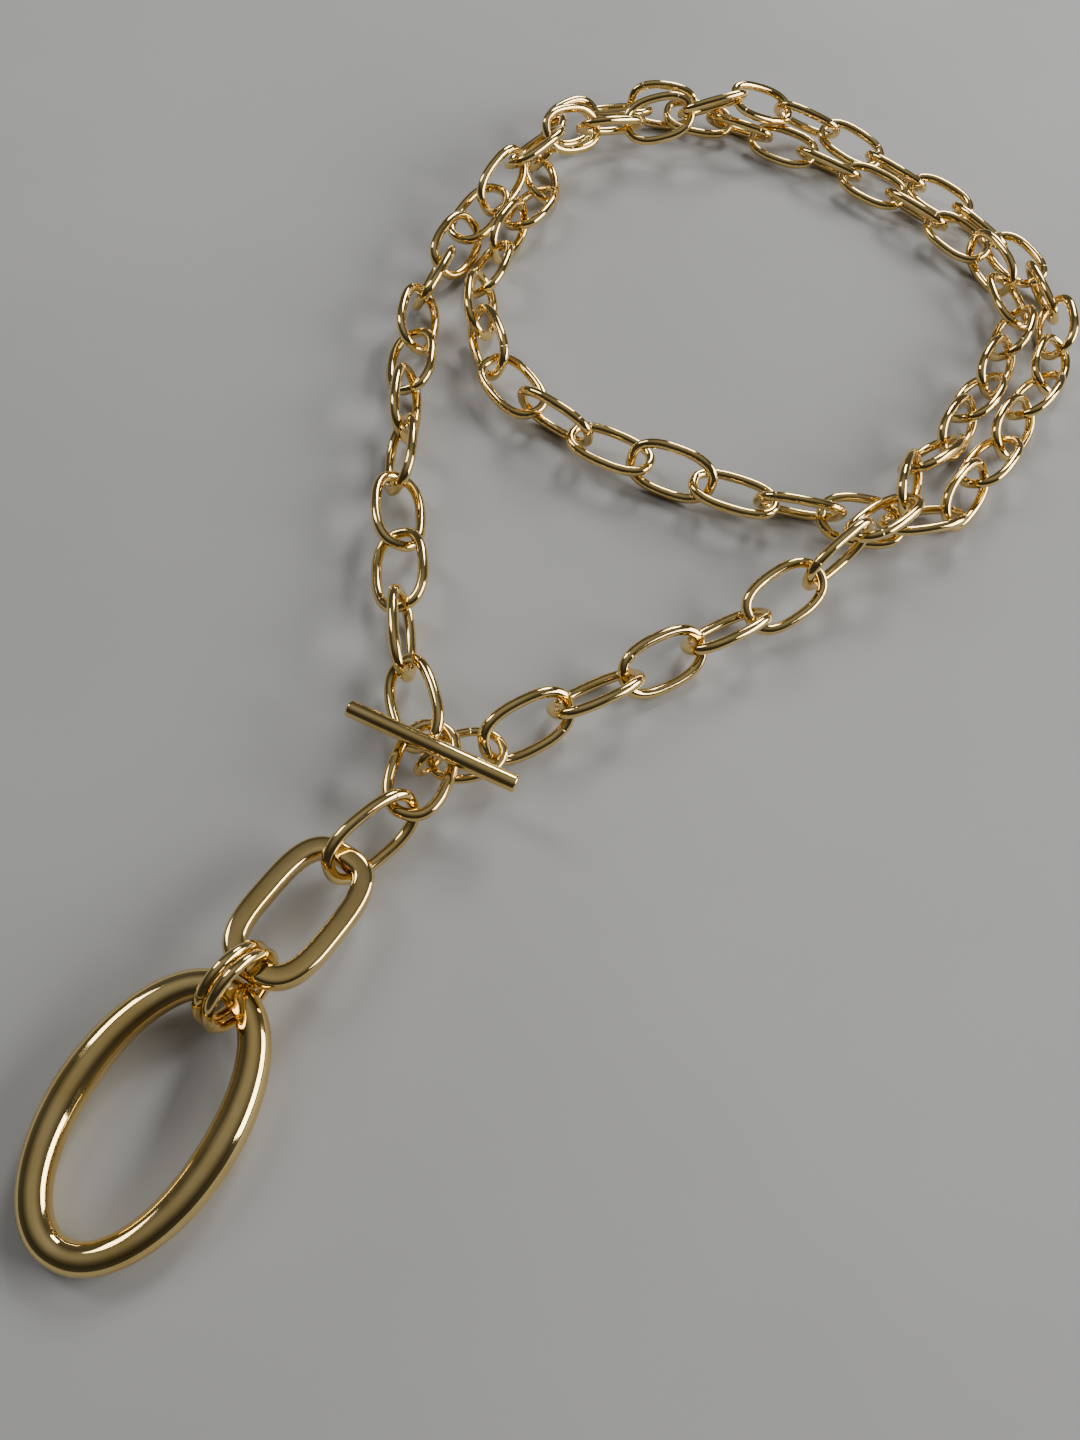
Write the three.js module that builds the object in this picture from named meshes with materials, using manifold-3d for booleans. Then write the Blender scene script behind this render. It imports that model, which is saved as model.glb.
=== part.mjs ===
// A long oval-link chain necklace with a toggle bar and an oval pendant drop, laid out in two loops.
// Millimetres and degrees, +Z up. The chain is numbered from the clasp link round to the toggle bar.
import * as THREE from 'three';
import { mergeVertices } from 'three/addons/utils/BufferGeometryUtils.js';
import Module from 'manifold-3d';

const wasm = await Module();
wasm.setup();

// Driving dimensions: the pieces.
const LINK = { length: 18, width: 10.8, wire: 1.9, squareness: 2.5 };
const LARGE_LINK = { length: 24.2, width: 14.9, wire: 3.3, squareness: 3.1, section: 3.4 };
const END_RING = { length: 13.2, width: 9.6, wire: 1.5, squareness: 2.2 };
const JUMP_RING = { diameter: 13.2, wire: 1.6, spacing: 1.9 };
const PENDANT = { length: 39.9, width: 26.1, endTube: 3.9, sideTube: 5.2, squareness: 2.05 };
const TOGGLE = { length: 28.8, diameter: 2.8, bevel: 0.35, eyeDiameter: 6.8, eyeWire: 1.2, eyeTurn: 68 };

// Driving dimensions: how the pieces lie.
const LINK_COUNT = 71;
const TIE_DIAMETER = 1;
const CLASP_LINK = { centre: [-16.1, 77.2, 5.4], heading: 86, lean: 0 };
const END_RING_AT = { centre: [-10.1, 82.45, 3.25], heading: 26, rise: 4.5 };
const TOGGLE_BAR = { centre: [-15.3, 79.9, 8.3], heading: -13.5 };
const DROP_LINK = { from: [-16.5, 70.7, 5], to: [-24.5, 58.5, 5], lean: -62 };
const LARGE_LINK_AT = { centre: [-27.05, 50.85, 5.8], heading: 250, rise: 6 };
const JUMP_RINGS_AT = { centre: [-31.95, 38.4, 6.6], heading: 244, lean: -82 };
const PENDANT_AT = { centre: [-38.1, 21.1, 3.15], heading: 254.5, rise: -3.7 };

// Where the links meet, from the clasp link's top to the end ring: [number of the link before, x, y, z].
const ROUTE = [
  [0, -17.1, 82.7, 5.2], [1, -23.6, 94.8, 4.6], [2, -27.4, 107.9, 4.6], [4, -34.6, 134, 4], [6, -39.3, 160, 4],
  [8, -42.6, 184.7, 4], [10, -38.6, 209.5, 5], [11, -36, 218.3, 7], [12, -32.6, 229, 9.9],
  [13, -26.2, 242, 11], [14, -19.3, 251, 9], [15, -9.6, 258.8, 7], [16, 2.2, 265, 9.6],
  [17, 14.2, 272.9, 11.5], [18, 26.2, 278.6, 8], [19, 38.6, 278.5, 5.4], [20, 50.5, 273, 4],
  [22, 72.6, 258.7, 4], [24, 89.2, 239, 4], [26, 93.8, 214.5, 4], [28, 85.2, 192, 4],
  [30, 74.6, 168.5, 4], [31, 69, 157.5, 3.6], [32, 57.8, 151.8, 3.2], [33, 45.3, 150, 3.8],
  [34, 33, 149, 4.4], [36, 8, 152.3, 4.6], [38, -15.5, 161.2, 4], [40, -29.8, 180.5, 4],
  [42, -31.3, 205, 4], [44, -26, 229.8, 3.4], [45, -28.6, 242.2, 3.2], [46, -28, 254.5, 4.2],
  [47, -20, 265, 4], [48, -8.2, 272.5, 4], [50, 10.5, 275, 3.2], [51, 22.2, 272.8, 3.2], [52, 33.6, 269.2, 3.6],
  [54, 56.3, 258.7, 4], [56, 75.9, 243.6, 4.2], [58, 84.7, 222, 4], [60, 77.2, 198.2, 4],
  [62, 68, 176, 5], [63, 60.7, 164.5, 7], [64, 57.5, 152, 9.4], [65, 50, 142, 9.6],
  [66, 42.2, 131.8, 6.5], [67, 33.2, 122, 4.2], [68, 23.5, 112.7, 4], [70, 3.2, 94.2, 4],
  [71, -6.75, 84.7, 3.8],
];

// How far each link of the chain leans about its length, in order: more than 0 has its left side up.
const LEANS = [
  -45, 70, -27, 26, -62, 64, -28, 45, -62, 45,
  -7, 65, -38, 45, -45, 45, -45, 20, -48, 15,
  -40, 15, -42, 19, -55, 68, -30, 45, -38, 35,
  -50, 30, -22, 62, 5, -65, 3, 74, -7, -67,
  51, -41, 73, -24, 32, -52, 35, -21, 75, 15,
  -40, 20, -38, 15, -40, 14, 88, -21, 54, -45,
  40, -50, 49, -58, 35, -85, -25, 45, -45, 45,
  -52,
];

// Pieces of the chain that are made as a pair of links, so that every link of a long chain is there.
const FIRST_GROUP = 7;
const LAST_GROUPED = 66;
const GROUP_SIZE = 3;

const WIRE_SIDES = 6;
const LINK_STEPS = 12;
const UP = new THREE.Vector3(0, 0, 1);

const gold = new THREE.MeshStandardMaterial({ color: 0xd8a94a, roughness: 0.16, metalness: 1 });
const necklace = new THREE.Group();

/** A cosine or sine drawn outward, so that a circle becomes a squared oval. */
function squared(value, squareness) {
  return Math.sign(value) * Math.abs(value) ** (2 / squareness);
}

/**
 * A closed ring of wire along a flat oval in XY. The wire's thickness at turn t is thickness(t).
 * Its section is round when section is 2, and squarer for more than 2.
 */
function ovalRing(length, width, squareness, thickness, sides, steps, section = 2) {
  const geometry = new THREE.TorusGeometry(1, 0.5, sides, steps);
  const place = geometry.attributes.position;
  const halfLength = length / 2;
  const halfWidth = width / 2;
  for (let i = 0; i < place.count; i += 1) {
    const turn = Math.atan2(place.getY(i), place.getX(i));
    const outward = squared((Math.hypot(place.getX(i), place.getY(i)) - 1) / 0.5, section);
    const upward = squared(place.getZ(i) / 0.5, section);
    const c = Math.cos(turn);
    const s = Math.sin(turn);
    const x = halfLength * squared(c, squareness);
    const y = halfWidth * squared(s, squareness);
    const normal = new THREE.Vector2(
      (Math.sign(x) * Math.abs(x / halfLength) ** (squareness - 1)) / halfLength,
      (Math.sign(y) * Math.abs(y / halfWidth) ** (squareness - 1)) / halfWidth,
    ).normalize();
    const radius = thickness(turn) / 2;
    place.setXYZ(i, x + normal.x * radius * outward, y + normal.y * radius * outward, radius * upward);
  }
  return geometry;
}

function linkGeometry({ length, width, wire, squareness, section }, sides, steps) {
  return ovalRing(length - wire, width - wire, squareness, () => wire, sides, steps, section);
}

/** Turns a closed geometry into a manifold solid, moved by a matrix. */
function solid(geometry, matrix) {
  const bare = geometry.clone();
  bare.deleteAttribute('normal');
  bare.deleteAttribute('uv');
  const welded = mergeVertices(bare.applyMatrix4(matrix), 1e-4);
  return new wasm.Manifold(new wasm.Mesh({
    numProp: 3,
    vertProperties: new Float32Array(welded.attributes.position.array),
    triVerts: new Uint32Array(welded.index.array),
  }));
}

function geometryOf(manifold) {
  const mesh = manifold.getMesh();
  const geometry = new THREE.BufferGeometry();
  geometry.setAttribute('position', new THREE.BufferAttribute(mesh.vertProperties, 3));
  geometry.setIndex(new THREE.BufferAttribute(mesh.triVerts, 1));
  geometry.computeVertexNormals();
  return geometry;
}

/** The placement of a piece whose X runs along axis and whose face leans about it, from level. */
function placement(centre, axis, lean) {
  const x = axis.clone().normalize();
  const y = new THREE.Vector3().crossVectors(UP, x).normalize();
  const z = new THREE.Vector3().crossVectors(x, y);
  const turn = new THREE.Matrix4().makeRotationAxis(x, THREE.MathUtils.degToRad(lean));
  const matrix = new THREE.Matrix4().makeBasis(x, y, z).premultiply(turn);
  return matrix.setPosition(centre);
}

function heading(degrees, rise = 0) {
  const h = THREE.MathUtils.degToRad(degrees);
  const r = THREE.MathUtils.degToRad(rise);
  return new THREE.Vector3(Math.cos(h) * Math.cos(r), Math.sin(h) * Math.cos(r), Math.sin(r));
}

function add(name, geometry, matrix) {
  const mesh = new THREE.Mesh(geometry, gold.clone());
  mesh.name = name;
  matrix.decompose(mesh.position, mesh.quaternion, mesh.scale);
  necklace.add(mesh);
}

/** The meeting points of all the links, evenly spaced along the curve between the ones in the route. */
function meetingPoints() {
  const given = ROUTE.map(([, x, y, z]) => new THREE.Vector3(x, y, z));
  const curve = new THREE.CatmullRomCurve3(given, false, 'centripetal');
  const samples = 60;
  const points = [given[0]];
  for (let i = 1; i < ROUTE.length; i += 1) {
    const line = [];
    for (let k = 0; k <= samples; k += 1) {
      line.push(curve.getPoint((i - 1 + k / samples) / (ROUTE.length - 1)));
    }
    const links = ROUTE[i][0] - ROUTE[i - 1][0];
    const whole = line.slice(1).reduce((sum, point, k) => sum + point.distanceTo(line[k]), 0);
    let along = 0;
    for (let k = 1; k <= samples; k += 1) {
      along += line[k].distanceTo(line[k - 1]);
      if (along >= (whole * (points.length - ROUTE[i - 1][0])) / links - 1e-6) {
        points.push(line[k]);
      }
    }
  }
  return points;
}

const meetings = meetingPoints();

function linkMatrix(number) {
  const from = meetings[number - 1];
  const to = meetings[number];
  const lean = LEANS[number - 1];
  const centre = from.clone().lerp(to, 0.5);
  const stood = ((LINK.width - LINK.wire) / 2) * Math.sin(THREE.MathUtils.degToRad(Math.abs(lean)));
  centre.z = Math.max(centre.z, stood + LINK.wire / 2);
  return placement(centre, to.clone().sub(from), lean);
}

const twoDigits = (number) => String(number).padStart(2, '0');

/** Two neighbouring links with a short tie from the one's end to the other's. */
function addPair(number) {
  const first = linkMatrix(number);
  const second = linkMatrix(number + 1);
  const end = (LINK.length - LINK.wire) / 2;
  const from = new THREE.Vector3(end, 0, 0).applyMatrix4(first);
  const to = new THREE.Vector3(-end, 0, 0).applyMatrix4(second);
  const tie = new THREE.CylinderGeometry(TIE_DIAMETER / 2, TIE_DIAMETER / 2, from.distanceTo(to), 8);
  tie.rotateZ(Math.PI / 2);
  const wire = linkGeometry(LINK, WIRE_SIDES, LINK_STEPS);
  const joined = solid(wire, first)
    .add(solid(wire, second))
    .add(solid(tie, placement(from.clone().lerp(to, 0.5), to.clone().sub(from), 0)));
  const geometry = geometryOf(joined).applyMatrix4(first.clone().invert());
  add(`chain_links_${twoDigits(number)}_${twoDigits(number + 1)}`, geometry, first);
}

function addChain() {
  for (let number = 1; number <= LINK_COUNT; number += 1) {
    const grouped = number >= FIRST_GROUP && number <= LAST_GROUPED;
    if (grouped && (number - FIRST_GROUP) % GROUP_SIZE === 1) {
      addPair(number);
      number += 1;
    } else {
      add(`chain_link_${twoDigits(number)}`, linkGeometry(LINK, WIRE_SIDES, LINK_STEPS), linkMatrix(number));
    }
  }
}

function addClasp() {
  const { centre, heading: turned, lean } = CLASP_LINK;
  const matrix = placement(new THREE.Vector3(...centre), heading(turned), lean);
  add('clasp_link', linkGeometry(LINK, 8, 20), matrix);

  const end = END_RING_AT;
  const endMatrix = placement(new THREE.Vector3(...end.centre), heading(end.heading, end.rise), 0);
  add('end_ring', linkGeometry(END_RING, 8, 18), endMatrix);
}

/** The bar, with a ring joined under its middle for the chain's last link. */
function addToggleBar() {
  const radius = TOGGLE.diameter / 2;
  const half = TOGGLE.length / 2;
  const profile = [
    [0, -half], [radius - TOGGLE.bevel, -half], [radius, -half + TOGGLE.bevel],
    [radius, half - TOGGLE.bevel], [radius - TOGGLE.bevel, half], [0, half],
  ].map(([x, y]) => new THREE.Vector2(x, y));
  const bar = new THREE.LatheGeometry(profile, 16).rotateZ(-Math.PI / 2);
  const across = TOGGLE.eyeDiameter / 2 - TOGGLE.eyeWire / 2;
  const eye = new THREE.TorusGeometry(across, TOGGLE.eyeWire / 2, 8, 18).rotateX(Math.PI / 2);
  eye.rotateZ(THREE.MathUtils.degToRad(TOGGLE.eyeTurn));
  eye.translate(0, 0, -across - TOGGLE.diameter / 2 - TOGGLE.eyeWire / 4);
  const still = new THREE.Matrix4();
  const whole = geometryOf(solid(bar, still).add(solid(eye, still)));
  const { centre, heading: turned } = TOGGLE_BAR;
  add('toggle_bar', whole, placement(new THREE.Vector3(...centre), heading(turned), 0));
}

function addDrop() {
  const from = new THREE.Vector3(...DROP_LINK.from);
  const to = new THREE.Vector3(...DROP_LINK.to);
  const dropLink = placement(from.clone().lerp(to, 0.5), to.clone().sub(from), DROP_LINK.lean);
  add('drop_link', linkGeometry(LINK, 8, 20), dropLink);

  const large = LARGE_LINK_AT;
  const largeAxis = heading(large.heading, large.rise);
  const largeMatrix = placement(new THREE.Vector3(...large.centre), largeAxis, 0);
  add('large_oval_link', linkGeometry(LARGE_LINK, 8, 28), largeMatrix);

  const rings = JUMP_RINGS_AT;
  const ringMatrix = placement(new THREE.Vector3(...rings.centre), heading(rings.heading), rings.lean);
  for (const [name, side] of [['jump_ring_left', 1], ['jump_ring_right', -1]]) {
    const across = (JUMP_RING.diameter - JUMP_RING.wire) / 2;
    const ring = new THREE.TorusGeometry(across, JUMP_RING.wire / 2, 8, 20);
    const offset = new THREE.Matrix4().makeTranslation(0, 0, (side * JUMP_RING.spacing) / 2);
    add(name, ring, ringMatrix.clone().multiply(offset));
  }

  const { length, width, endTube, sideTube, squareness } = PENDANT;
  const tube = (turn) => endTube + (sideTube - endTube) * Math.abs(Math.sin(turn));
  const shape = ovalRing(length - endTube, width - sideTube, squareness, tube, 12, 32);
  const hang = PENDANT_AT;
  add('oval_pendant', shape, placement(new THREE.Vector3(...hang.centre), heading(hang.heading, hang.rise), 0));
}

addClasp();
addChain();
addToggleBar();
addDrop();

// The origin is on the table, under the middle of the laid-out necklace.
necklace.updateMatrixWorld(true);
const box = new THREE.Box3().setFromObject(necklace, true);
const middle = box.getCenter(new THREE.Vector3());
for (const piece of necklace.children) {
  piece.position.sub(new THREE.Vector3(middle.x, middle.y, box.min.z));
}

export default necklace;
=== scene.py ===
import math
import re

import bpy
import numpy as np
from mathutils import Matrix, Vector


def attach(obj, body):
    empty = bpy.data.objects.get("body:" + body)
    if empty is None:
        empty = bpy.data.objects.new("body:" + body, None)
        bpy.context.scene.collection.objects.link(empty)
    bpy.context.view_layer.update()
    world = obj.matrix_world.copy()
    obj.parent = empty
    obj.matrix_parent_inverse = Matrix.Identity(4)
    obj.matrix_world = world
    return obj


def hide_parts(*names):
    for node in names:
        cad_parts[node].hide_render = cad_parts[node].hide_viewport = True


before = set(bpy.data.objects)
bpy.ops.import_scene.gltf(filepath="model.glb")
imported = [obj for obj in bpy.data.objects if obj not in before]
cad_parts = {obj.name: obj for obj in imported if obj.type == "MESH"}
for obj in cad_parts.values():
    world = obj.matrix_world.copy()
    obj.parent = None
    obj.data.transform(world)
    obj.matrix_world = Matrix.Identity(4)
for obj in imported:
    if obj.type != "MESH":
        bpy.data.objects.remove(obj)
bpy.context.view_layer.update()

MM = 0.001

# Driving dimensions of the pieces, in millimetres.
LINK = {"length": 18, "width": 10.8, "wire": 1.9, "squareness": 2.5, "seam": 0.11}
END_RING = {"length": 13.2, "width": 9.6, "wire": 1.5, "squareness": 2.2, "seam": 0.2}
LARGE_LINK = {"length": 24.2, "width": 14.9, "wire": 3.3, "squareness": 3.1, "section": 3.4,
              "seam": 0.46}
JUMP_RING = {"length": 13.2, "width": 13.2, "wire": 1.6, "squareness": 2, "seam": 0.3}
PENDANT = {"length": 39.9, "width": 26.1, "end": 3.9, "side": 5.2, "squareness": 2.05}
TOGGLE = {"length": 28.8, "diameter": 2.8, "bevel": 0.3, "eye": 6.8, "eye_wire": 1.2, "eye_turn": 68}

# Where the joint line lies round the four kinds of chain link, as a share of the way round.
LINK_SEAMS = (0.11, 0.39, 0.61, 0.89)
SEAM_WIDTH = 0.14
SEAM_DEPTH = 0.045

# How the two links of a paired node are found, in millimetres. Points within "end" of the node's end give
# a first plane, moved "inward" to the link's middle. Then points within "flat" of the plane and inside
# "length" and "width" are fitted again, but for those in the link's hole, which PAIR_CROSSING spans, and
# those within "tie" of its long axis, where the tie is.
PAIR = {"end": 11, "inward": 3.5, "flat": 1.15, "length": 9.4, "width": 5.8, "tie": 1.3}
PAIR_CROSSING = (7, 3.2)
PAIR_PASSES = 5


# ---- where the CAD pieces lie -------------------------------------------------------------------
def points_of(node):
    """The CAD node's separate vertices, in metres."""
    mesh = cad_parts[node].data
    co = np.zeros(len(mesh.vertices) * 3)
    mesh.vertices.foreach_get("co", co)
    return np.unique(np.round(co.reshape(-1, 3), 7), axis=0)


def upright(centre, x, y):
    """A placement with X along x, Y near y and Z on the upper side."""
    x = x / np.linalg.norm(x)
    z = np.cross(x, y)
    z = z / np.linalg.norm(z)
    if z[2] < 0:
        z = -z
    y = np.cross(z, x)
    place = np.identity(4)
    place[:3, 0] = x
    place[:3, 1] = y
    place[:3, 2] = z
    place[:3, 3] = centre
    return place


def ring_place(points):
    """The placement of a flat ring from its vertices: X along its length, Y across, Z its normal."""
    centre = points.mean(0)
    axes = np.linalg.svd(points - centre, full_matrices=False)[2]
    along = (points - centre) @ axes.T
    centre = centre + ((along.max(0) + along.min(0)) / 2) @ axes
    return upright(centre, axes[0], axes[1])


def pair_places(points):
    """The placements of the two links that one CAD node holds, each from its own flat plane."""
    middle = points.mean(0)
    run = np.linalg.svd(points - middle, full_matrices=False)[2][0]
    places = []
    for way in (1, -1):
        along = (points - middle) @ run * way
        start = along.min()
        place = ring_place(points[along < start + PAIR["end"] * MM])
        if abs(place[:3, 0] @ run) < abs(place[:3, 1] @ run):
            place = upright(place[:3, 3], place[:3, 1], place[:3, 0])
        place[:3, 3] += place[:3, 0] * np.sign(place[:3, 0] @ run) * way * PAIR["inward"] * MM
        for _ in range(PAIR_PASSES):
            local = (points - place[:3, 3]) @ place[:3, :3] / MM
            off = np.abs(local)
            flat = off[:, 2] < PAIR["flat"]
            inside = (off[:, 0] < PAIR["length"]) & (off[:, 1] < PAIR["width"])
            crossing = (off[:, 0] < PAIR_CROSSING[0]) & (off[:, 1] < PAIR_CROSSING[1])
            tied = off[:, 1] < PAIR["tie"]
            place = ring_place(points[flat & inside & ~crossing & ~tied])
        places.append(place)
    return places


# ---- fine meshes --------------------------------------------------------------------------------
def oval_line(length, width, squareness, marks=()):
    """Evenly spaced stations round a squared oval: place, outward direction and distance round."""
    turn = np.linspace(0, 2 * math.pi, 4001)
    c, s = np.cos(turn), np.sin(turn)
    x = length / 2 * np.sign(c) * np.abs(c) ** (2 / squareness)
    y = width / 2 * np.sign(s) * np.abs(s) ** (2 / squareness)
    gone = np.concatenate(([0], np.cumsum(np.hypot(np.diff(x), np.diff(y)))))
    whole = gone[-1]
    count = 2 * round(whole / 0.9) + 24
    at = np.concatenate((np.linspace(0, whole, count, endpoint=False), np.array(marks) * whole))
    at = np.unique(np.round(at % whole, 4))
    step = 0.02

    def point(where):
        return np.stack([np.interp(where, gone, x), np.interp(where, gone, y)], 1)

    place = point(at)
    along = point((at + step) % whole) - point((at - step) % whole)
    along = along / np.linalg.norm(along, axis=1)[:, None]
    outward = np.stack([along[:, 1], -along[:, 0]], 1)
    return place, outward, at / whole


def mesh_from_rings(name, rings, shader):
    """A closed smooth tube from rings of points that meet end to end."""
    count, sides = len(rings), len(rings[0])
    faces = []
    for i in range(count):
        k = (i + 1) % count
        for j in range(sides):
            m = (j + 1) % sides
            faces.append((i * sides + j, k * sides + j, k * sides + m, i * sides + m))
    mesh = bpy.data.meshes.new(name)
    mesh.from_pydata([tuple(v * MM) for ring in rings for v in ring], [], faces)
    mesh.polygons.foreach_set("use_smooth", [True] * len(mesh.polygons))
    mesh.materials.append(shader)
    mesh.validate()
    mesh.update()
    return mesh


def tube(name, line, radius, shader, sides=24, groove=None, section=2):
    """
    A wire along an oval line; groove is (where, half width, depth) of its butt joint.
    Its section is round when section is 2, and squarer for more than 2.
    """
    place, outward, where = line
    v = np.linspace(0, 2 * math.pi, sides, endpoint=False)
    c, s = np.cos(v), np.sin(v)
    wide = np.sign(c) * np.abs(c) ** (2 / section)
    high = np.sign(s) * np.abs(s) ** (2 / section)
    rings = []
    for p, out, t in zip(place, outward, where):
        r = radius(t)
        if groove:
            near = abs(t - groove[0])
            r -= groove[2] * max(0.0, 1 - near / groove[1])
        rings.append([np.array([*(p + out * r * x), r * y]) for x, y in zip(wide, high)])
    return mesh_from_rings(name, rings, shader)


def wire_ring(name, size, shader, sides=24):
    """An oval or round ring of wire, with the fine joint line where its ends were brazed."""
    length, width = size["length"] - size["wire"], size["width"] - size["wire"]
    seam = size["seam"]
    around = math.pi * (length + width) / 2
    half = SEAM_WIDTH / 2 / around
    marks = [seam + step * half for step in (-3, -1, -0.5, 0, 0.5, 1, 3)]
    line = oval_line(length, width, size["squareness"], marks)
    groove = (seam, half, SEAM_DEPTH)
    return tube(name, line, lambda t: size["wire"] / 2, shader, sides, groove, size.get("section", 2))


def pendant_mesh(name, size, shader):
    """The pendant's oval tube, fuller along its sides than at its ends."""
    line = oval_line(size["length"] - size["end"], size["width"] - size["side"], size["squareness"])
    place, outward, where = line
    turn = np.arctan2(place[:, 1], place[:, 0])
    full = (size["end"] + (size["side"] - size["end"]) * np.abs(np.sin(turn))) / 2
    return tube(name, line, lambda t: np.interp(t, where, full), shader, 48)


def bar_mesh(name, size, shader):
    """The toggle bar, turned round with bevelled flat ends."""
    r, half, bevel, sides = size["diameter"] / 2, size["length"] / 2, size["bevel"], 48
    profile = [(-half, 0.001), (-half, (r - bevel) * 0.6), (-half, r - bevel)]
    profile += [(-half + bevel * 0.3, r - bevel * 0.3), (-half + bevel, r)]
    profile += [(x, r) for x in np.linspace(-half + 2 * bevel, half - 2 * bevel, 24)]
    profile += [(-x, y) for x, y in reversed(profile[:5])]
    v = np.linspace(0, 2 * math.pi, sides, endpoint=False)
    points = [(x * MM, y * math.cos(a) * MM, y * math.sin(a) * MM) for x, y in profile for a in v]
    faces = []
    for i in range(len(profile) - 1):
        for j in range(sides):
            m = (j + 1) % sides
            faces.append((i * sides + j, i * sides + m, (i + 1) * sides + m, (i + 1) * sides + j))
    last = (len(profile) - 1) * sides
    faces.append(tuple(range(sides)))
    faces.append(tuple(last + j for j in reversed(range(sides))))
    mesh = bpy.data.meshes.new(name)
    mesh.from_pydata(points, [], faces)
    mesh.polygons.foreach_set("use_smooth", [len(f.vertices) == 4 for f in mesh.polygons])
    mesh.materials.append(shader)
    mesh.update()
    return mesh


def piece(name, mesh, place, node):
    """Puts a mesh where its CAD node lies, in the node's place, riding on the node's body."""
    made = bpy.data.objects.new(name, mesh)
    bpy.context.scene.collection.objects.link(made)
    made.matrix_world = Matrix([list(row) for row in place])
    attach(made, node)
    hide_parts(node)


# ---- materials ----------------------------------------------------------------------------------
def gold(name, shift, base=(0.88, 0.67, 0.29), deep=(0.80, 0.57, 0.21), rough=(0.04, 0.10)):
    """Polished yellow gold plate: slight colour drift, buffing haze and the soft waves of hand polish."""
    shader = bpy.data.materials.new(name)
    shader.use_nodes = True
    nodes, links = shader.node_tree.nodes, shader.node_tree.links
    surface = nodes["Principled BSDF"]
    surface.inputs["Metallic"].default_value = 1.0
    surface.inputs["Specular IOR Level"].default_value = 0.5
    place = nodes.new("ShaderNodeTexCoord")
    move = nodes.new("ShaderNodeMapping")
    move.inputs["Location"].default_value = (shift, 2.3 * shift, -shift)
    links.new(place.outputs["Object"], move.inputs["Vector"])

    drift = nodes.new("ShaderNodeTexNoise")
    drift.inputs["Scale"].default_value = 140
    drift.inputs["Detail"].default_value = 3
    links.new(move.outputs["Vector"], drift.inputs["Vector"])
    tint = nodes.new("ShaderNodeValToRGB")
    tint.color_ramp.elements[0].position = 0.35
    tint.color_ramp.elements[0].color = (*deep, 1)
    tint.color_ramp.elements[1].position = 0.65
    tint.color_ramp.elements[1].color = (*base, 1)
    links.new(drift.outputs["Fac"], tint.inputs["Fac"])
    links.new(tint.outputs["Color"], surface.inputs["Base Color"])

    haze = nodes.new("ShaderNodeTexNoise")
    haze.inputs["Scale"].default_value = 420
    haze.inputs["Detail"].default_value = 5
    links.new(move.outputs["Vector"], haze.inputs["Vector"])
    spread = nodes.new("ShaderNodeMapRange")
    spread.inputs["From Min"].default_value = 0.3
    spread.inputs["From Max"].default_value = 0.7
    spread.inputs["To Min"].default_value = rough[0]
    spread.inputs["To Max"].default_value = rough[1]
    links.new(haze.outputs["Fac"], spread.inputs["Value"])
    links.new(spread.outputs["Result"], surface.inputs["Roughness"])

    waves = nodes.new("ShaderNodeTexNoise")
    waves.inputs["Scale"].default_value = 260
    waves.inputs["Detail"].default_value = 1.5
    links.new(move.outputs["Vector"], waves.inputs["Vector"])
    relief = nodes.new("ShaderNodeBump")
    relief.inputs["Strength"].default_value = 0.25
    relief.inputs["Distance"].default_value = 0.00012
    links.new(waves.outputs["Fac"], relief.inputs["Height"])
    links.new(relief.outputs["Normal"], surface.inputs["Normal"])
    return shader


link_gold = [gold(f"chain_gold_{k}", 0.7 * k) for k in range(4)]
drop_gold = gold("drop_gold", 5.1)
pendant_gold = gold("pendant_gold", 7.7)

# ---- the necklace -------------------------------------------------------------------------------
link_meshes = [wire_ring(f"link_{k}", {**LINK, "seam": seam}, link_gold[k])
               for k, seam in enumerate(LINK_SEAMS)]

for node in sorted(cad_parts):
    numbers = [int(n) for n in re.findall(r"\d+", node)]
    if not node.startswith("chain_link"):
        continue
    points = points_of(node)
    if len(numbers) == 1:
        piece(f"link_{numbers[0]:02d}", link_meshes[numbers[0] % 4], ring_place(points), node)
        continue
    for number, place in zip(numbers, pair_places(points)):
        piece(f"link_{number:02d}", link_meshes[number % 4], place, node)

SINGLE_RINGS = (
    ("clasp_oval", LINK, link_gold[1], 24, "clasp_link"),
    ("drop_oval", LINK, link_gold[2], 24, "drop_link"),
    ("end_ring_wire", END_RING, link_gold[3], 24, "end_ring"),
    ("large_oval", LARGE_LINK, drop_gold, 48, "large_oval_link"),
    ("jump_ring_left_wire", JUMP_RING, drop_gold, 28, "jump_ring_left"),
    ("jump_ring_right_wire", JUMP_RING, drop_gold, 28, "jump_ring_right"),
)
for name, size, shader, sides, node in SINGLE_RINGS:
    piece(name, wire_ring(name, size, shader, sides), ring_place(points_of(node)), node)

hang = ring_place(points_of("oval_pendant"))
large = ring_place(points_of("large_oval_link"))
if (hang[:3, 3] - large[:3, 3]) @ hang[:3, 0] < 0:
    hang[:3, 0] = -hang[:3, 0]
    hang[:3, 1] = -hang[:3, 1]
piece("pendant_oval", pendant_mesh("pendant_oval", PENDANT, pendant_gold), hang, "oval_pendant")

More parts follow.
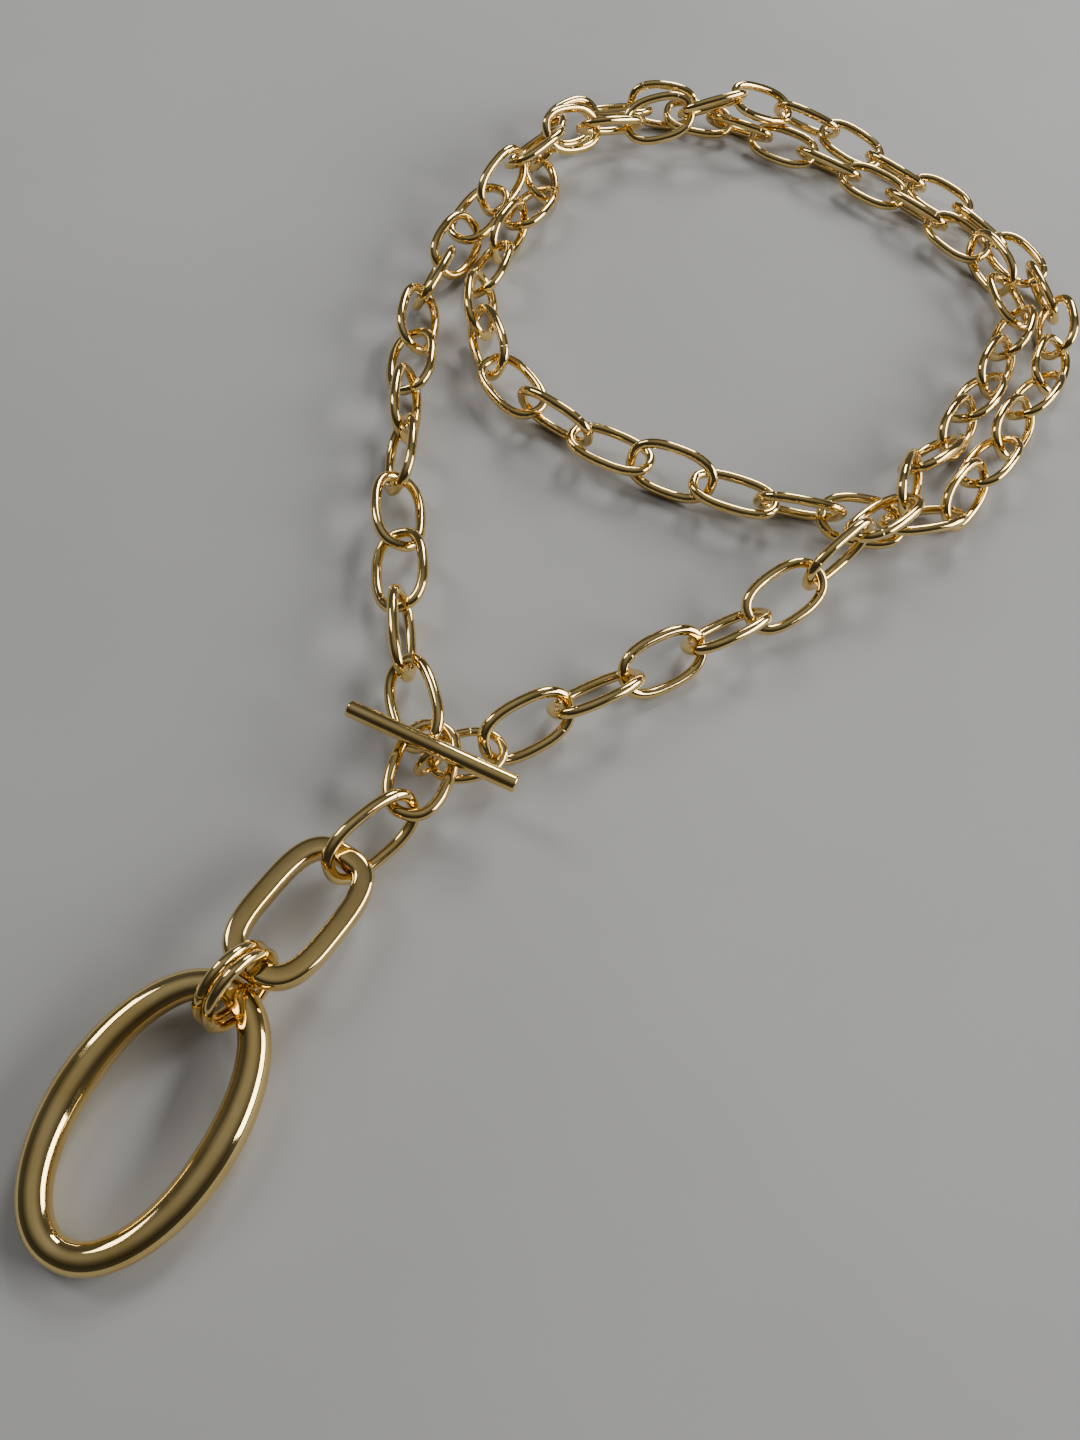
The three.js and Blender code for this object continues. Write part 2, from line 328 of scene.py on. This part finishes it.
# The bar lies along its node's longest direction, on top; its eye hangs under its middle.
bar_points = points_of("toggle_bar")
top = bar_points[bar_points[:, 2] > bar_points[:, 2].max() - TOGGLE["diameter"] * MM]
ends = np.linalg.svd(top - top.mean(0), full_matrices=False)[2][0]
ends = ends * np.sign(ends[0])
span = (top - top.mean(0)) @ ends
bar_place = upright(top.mean(0) + ends * (span.max() + span.min()) / 2, ends, np.cross([0, 0, 1], ends))
bar_place[2, 3] = bar_points[:, 2].max() - TOGGLE["diameter"] / 2 * MM
piece("toggle_bar_rod", bar_mesh("toggle_bar_rod", TOGGLE, drop_gold), bar_place, "toggle_bar")
eye_across = TOGGLE["eye"] - TOGGLE["eye_wire"]
eye_size = {"length": TOGGLE["eye"], "width": TOGGLE["eye"], "wire": TOGGLE["eye_wire"]}
eye_size |= {"squareness": 2, "seam": 0.5}
eye_turn = math.radians(TOGGLE["eye_turn"])
flat = np.array([math.cos(eye_turn), math.sin(eye_turn), 0])
eye = np.identity(4)
eye[:3, 0] = bar_place[:3, :3] @ flat
eye[:3, 1] = [0, 0, 1]
eye[:3, 2] = np.cross(eye[:3, 0], eye[:3, 1])
eye_drop = eye_across / 2 + TOGGLE["diameter"] / 2 + TOGGLE["eye_wire"] / 4
eye[:3, 3] = bar_place[:3, 3] - np.array([0, 0, 1]) * eye_drop * MM
piece("toggle_eye", wire_ring("toggle_eye", eye_size, drop_gold), eye, "toggle_bar")

# ---- floor, light and camera --------------------------------------------------------------------
def floor_material():
    """A plain pale floor with a slight unevenness in tone."""
    shader = bpy.data.materials.new("pale_floor")
    shader.use_nodes = True
    nodes, links = shader.node_tree.nodes, shader.node_tree.links
    surface = nodes["Principled BSDF"]
    surface.inputs["Roughness"].default_value = 0.85
    place = nodes.new("ShaderNodeTexCoord")
    mottle = nodes.new("ShaderNodeTexNoise")
    mottle.inputs["Scale"].default_value = 6
    mottle.inputs["Detail"].default_value = 6
    links.new(place.outputs["Object"], mottle.inputs["Vector"])
    tint = nodes.new("ShaderNodeValToRGB")
    tint.color_ramp.elements[0].position = 0.3
    tint.color_ramp.elements[0].color = (0.36, 0.362, 0.365, 1)
    tint.color_ramp.elements[1].position = 0.7
    tint.color_ramp.elements[1].color = (0.42, 0.422, 0.422, 1)
    links.new(mottle.outputs["Fac"], tint.inputs["Fac"])
    links.new(tint.outputs["Color"], surface.inputs["Base Color"])
    return shader


bpy.ops.mesh.primitive_plane_add(size=3, location=(0, 0, 0))
floor = bpy.context.object
floor.name = "floor"
floor.data.materials.append(floor_material())


def lamp(name, place, target, wide, high, power, colour):
    """A rectangular soft light at place, aimed at target."""
    light = bpy.data.lights.new(name, "AREA")
    light.shape = "RECTANGLE"
    light.size, light.size_y = wide, high
    light.energy = power
    light.color = colour
    made = bpy.data.objects.new(name, light)
    bpy.context.scene.collection.objects.link(made)
    made.location = place
    made.rotation_euler = (Vector(target) - Vector(place)).to_track_quat("-Z", "Y").to_euler()


lamp("window", (0.95, 0.15, 0.42), (0, 0, 0), 0.9, 0.5, 15, (1.0, 0.98, 0.95))
lamp("back_window", (0.15, 1.1, 0.75), (0, 0, 0), 0.35, 0.4, 8, (1.0, 0.99, 0.97))
lamp("side_window", (-0.9, 0.35, 0.8), (0, 0, 0), 0.3, 0.5, 4, (1.0, 0.99, 0.97))


def studio_world():
    """A plain room: dim to the sides and on the near side, lighter overhead and behind."""
    world = bpy.data.worlds.new("studio")
    world.use_nodes = True
    nodes, links = world.node_tree.nodes, world.node_tree.links
    way = nodes.new("ShaderNodeTexCoord")
    parts = nodes.new("ShaderNodeSeparateXYZ")
    links.new(way.outputs["Generated"], parts.inputs["Vector"])
    height = nodes.new("ShaderNodeValToRGB")
    stops = ((0.0, 0.13), (0.3, 0.09), (0.6, 0.07), (0.82, 0.19), (0.97, 0.34))
    while len(height.color_ramp.elements) < len(stops):
        height.color_ramp.elements.new(0.5)
    for element, (at, tone) in zip(height.color_ramp.elements, stops):
        element.position = at
        element.color = (tone, 0.99 * tone, 0.97 * tone, 1)
    links.new(parts.outputs["Z"], height.inputs["Fac"])
    behind = nodes.new("ShaderNodeMapRange")
    behind.inputs["From Min"].default_value = -0.6
    behind.inputs["From Max"].default_value = 0.3
    behind.inputs["To Min"].default_value = 0.45
    behind.inputs["To Max"].default_value = 1.0
    links.new(parts.outputs["Y"], behind.inputs["Value"])
    backdrop = nodes["Background"]
    links.new(height.outputs["Color"], backdrop.inputs["Color"])
    links.new(behind.outputs["Result"], backdrop.inputs["Strength"])
    return world


bpy.context.scene.world = studio_world()

# The camera stands over the near end of the necklace, turned a little to the left, and looks along it.
CAMERA_FROM_CLASP = (16.1, -77.2, 147.6)
CAMERA_DROP = math.radians(58.5)
CAMERA_TILT = 0.22
clasp = ring_place(points_of("clasp_link"))[:3, 3]
ahead = Vector((0, math.cos(CAMERA_DROP), -math.sin(CAMERA_DROP)))
level = Vector((1, 0, 0))
upward = Vector((0, math.sin(CAMERA_DROP), math.cos(CAMERA_DROP)))
right = math.cos(CAMERA_TILT) * level + math.sin(CAMERA_TILT) * upward
up = -math.sin(CAMERA_TILT) * level + math.cos(CAMERA_TILT) * upward
lens = bpy.data.cameras.new("camera")
lens.lens = 36
lens.sensor_width = 36
lens.sensor_fit = "HORIZONTAL"
lens.clip_start = 0.005
camera = bpy.data.objects.new("camera", lens)
bpy.context.scene.collection.objects.link(camera)
stand = Matrix((right, up, -ahead)).transposed().to_4x4()
stand.translation = Vector(clasp) + Vector(CAMERA_FROM_CLASP) * MM
camera.matrix_world = stand
bpy.context.scene.camera = camera
